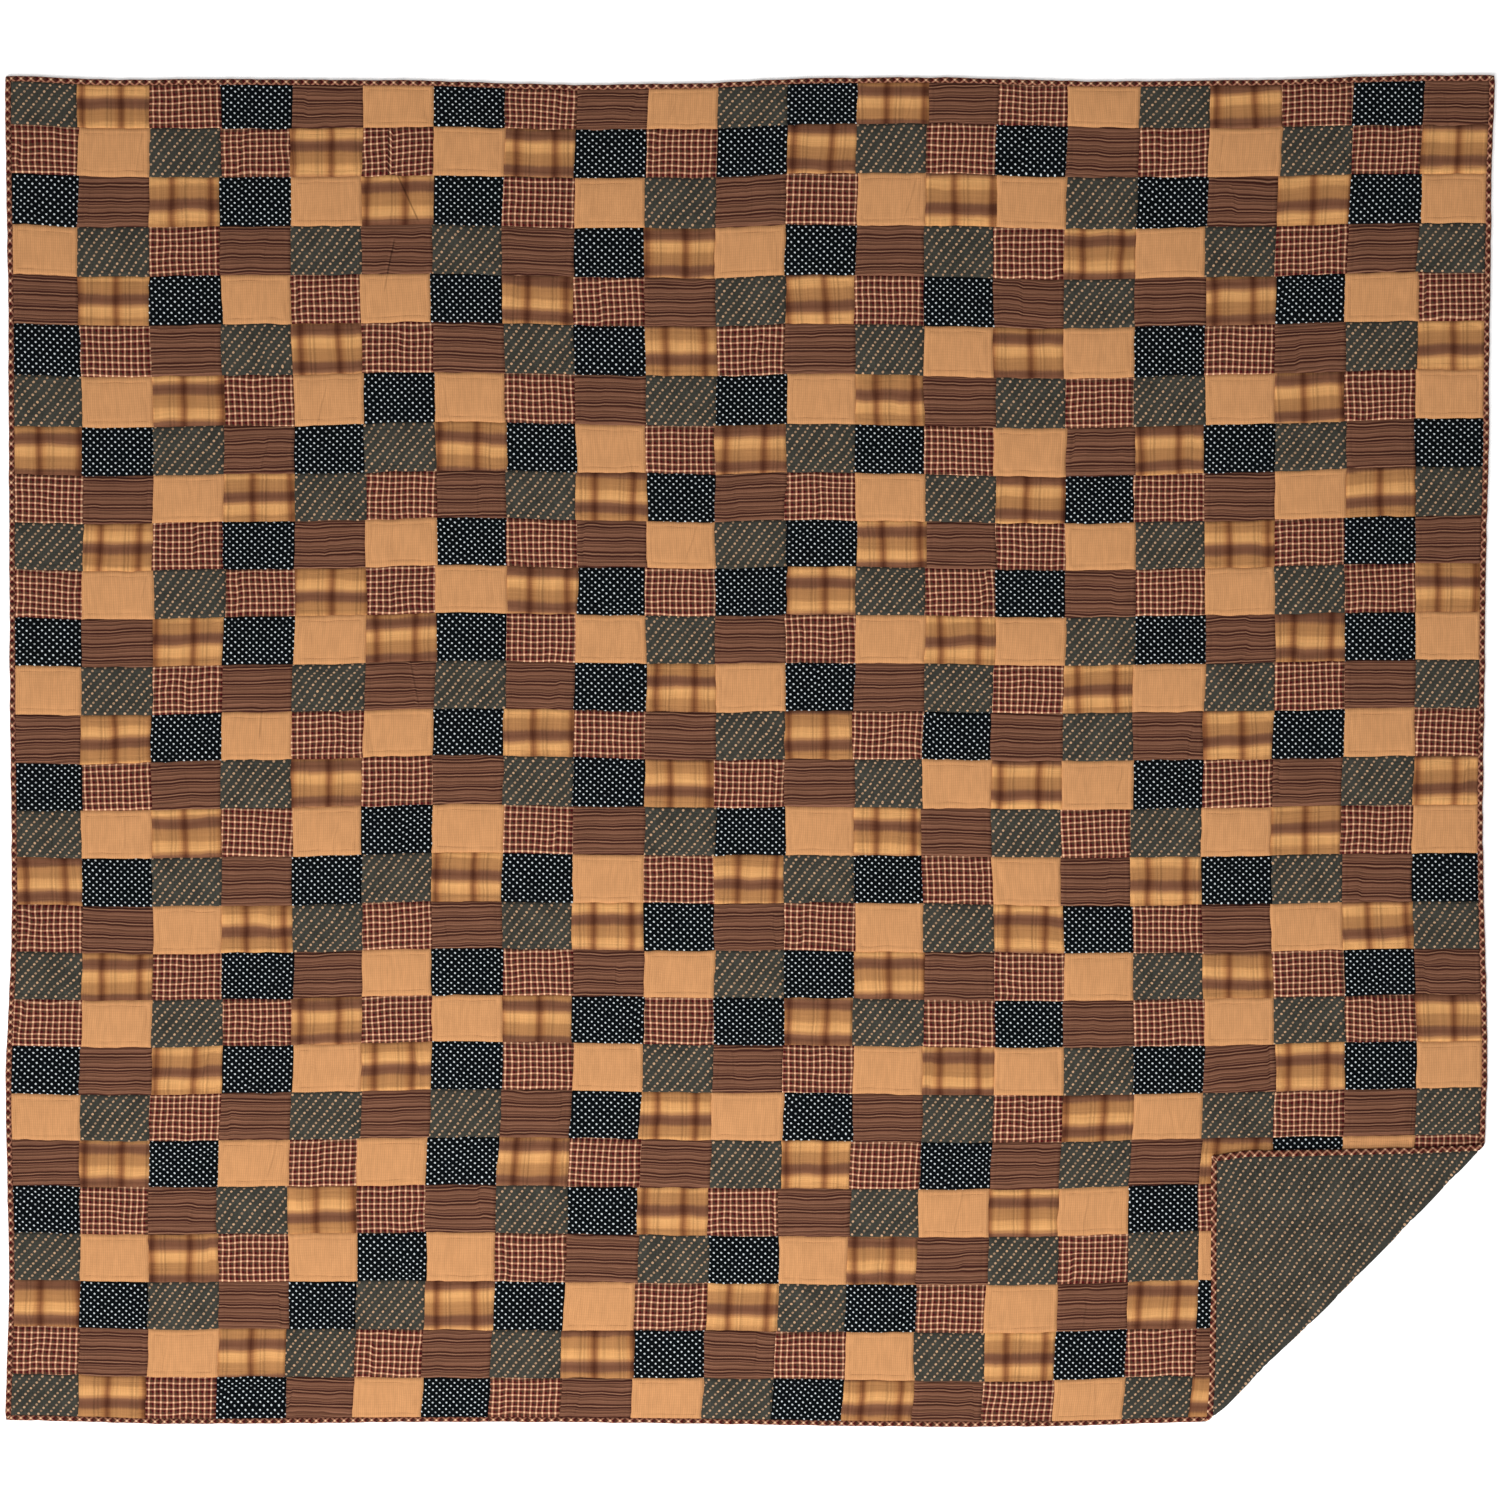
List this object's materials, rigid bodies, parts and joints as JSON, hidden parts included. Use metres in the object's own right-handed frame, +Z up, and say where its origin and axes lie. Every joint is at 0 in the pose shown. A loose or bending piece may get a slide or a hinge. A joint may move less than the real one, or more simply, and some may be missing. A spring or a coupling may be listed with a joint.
{
  "type": "patchwork quilt",
  "caption": "Rectangular bed quilt of oblong patches with a narrow bound edge, laid flat with one corner turned back to show its backing.",
  "frame": {"origin": "middle of the bounding box, on the surface the quilt lies on", "axes": "+Z up, out of the patchwork face; +X across the quilt's longer side; +Y along its shorter side, away from the turned corner, which is at +X and -Y"},
  "size_m": [2.68, 2.432, 0.0152],
  "materials": {
    "patchwork_cloth": "matt woven cotton in printed, plaid, checked and striped patches",
    "backing_cloth": "matt woven cotton, charcoal with slanting lines of tan dots",
    "binding_cloth": "matt woven cotton, burgundy and tan check cut on the bias"
  },
  "bodies": {
    "root": {"patchwork_top": "patchwork_cloth", "backing": "backing_cloth", "binding": "binding_cloth"}
  },
  "joints": []
}
